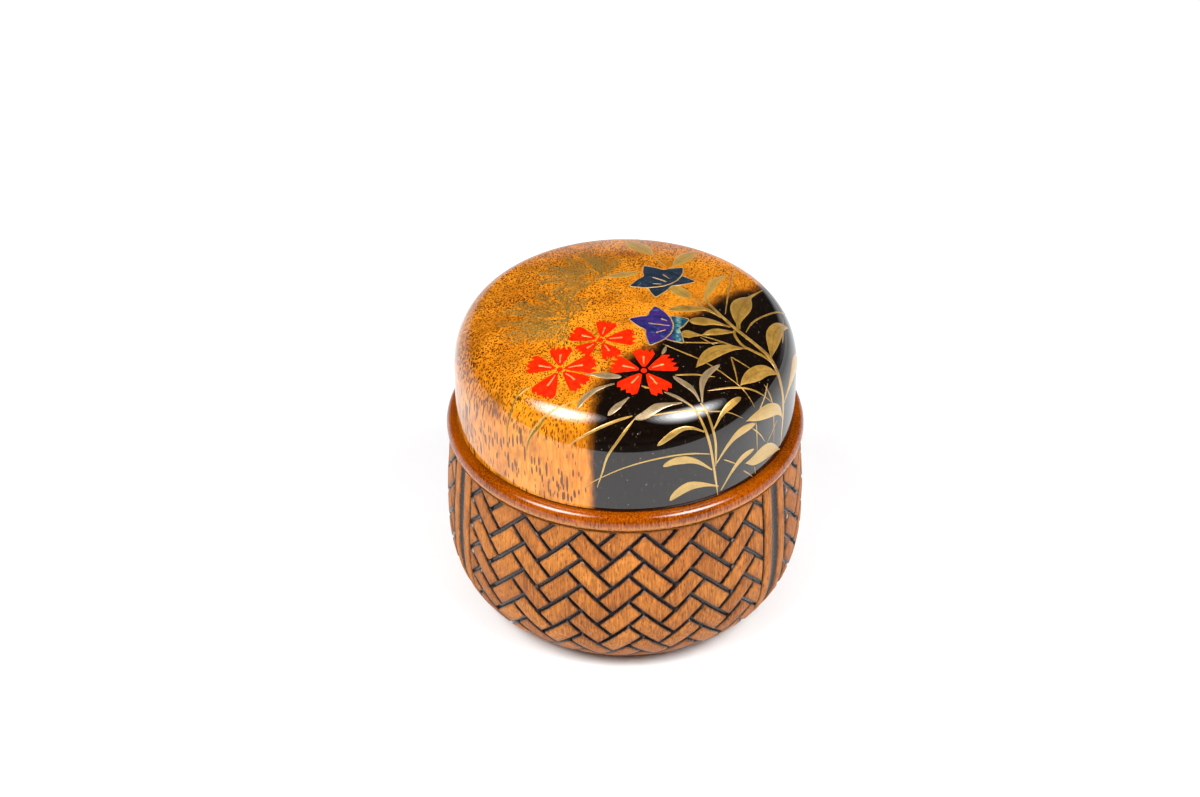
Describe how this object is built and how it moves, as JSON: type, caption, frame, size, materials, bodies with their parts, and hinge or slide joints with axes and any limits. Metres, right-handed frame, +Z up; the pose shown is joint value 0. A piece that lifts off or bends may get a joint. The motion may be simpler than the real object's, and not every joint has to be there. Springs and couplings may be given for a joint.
{
  "type": "tea caddy",
  "caption": "Small round lidded tea caddy: a carved herringbone wooden vessel with a bead rim and a lift-off lacquered lid with shell-inlaid flowers.",
  "frame": {"origin": "on the axis of turning, at the level of the foot ring", "axes": "+Z up along the axis of turning, towards the lid; -Y is the front, with the two flowers on the +X half of the lid"},
  "size_m": [0.069, 0.069, 0.065],
  "materials": {
    "carved_wood": "satin, lacquer-rubbed carving with near-black grooves",
    "amber_lacquer": "clear amber lacquer over wood, shading into gloss black",
    "blue_shell": "polished blue-green shell under clear lacquer",
    "gold_powder": "sprinkled gold powder in raised lacquer, satin",
    "red_lacquer": "raised red lacquer, soft gloss"
  },
  "bodies": {
    "vessel": {"caddy_body": "carved_wood"},
    "lid": {"caddy_lid": "amber_lacquer", "upper_bellflower_petals": "blue_shell", "upper_bellflower_lip": "blue_shell", "lower_bellflower_petals": "blue_shell", "lower_bellflower_lip": "blue_shell"}
  },
  "joints": [
    {"name": "lid_lift", "type": "slide", "parent": "vessel", "child": "lid", "axis": [0, 0, 1], "range_m": [0, 0.06]}
  ]
}
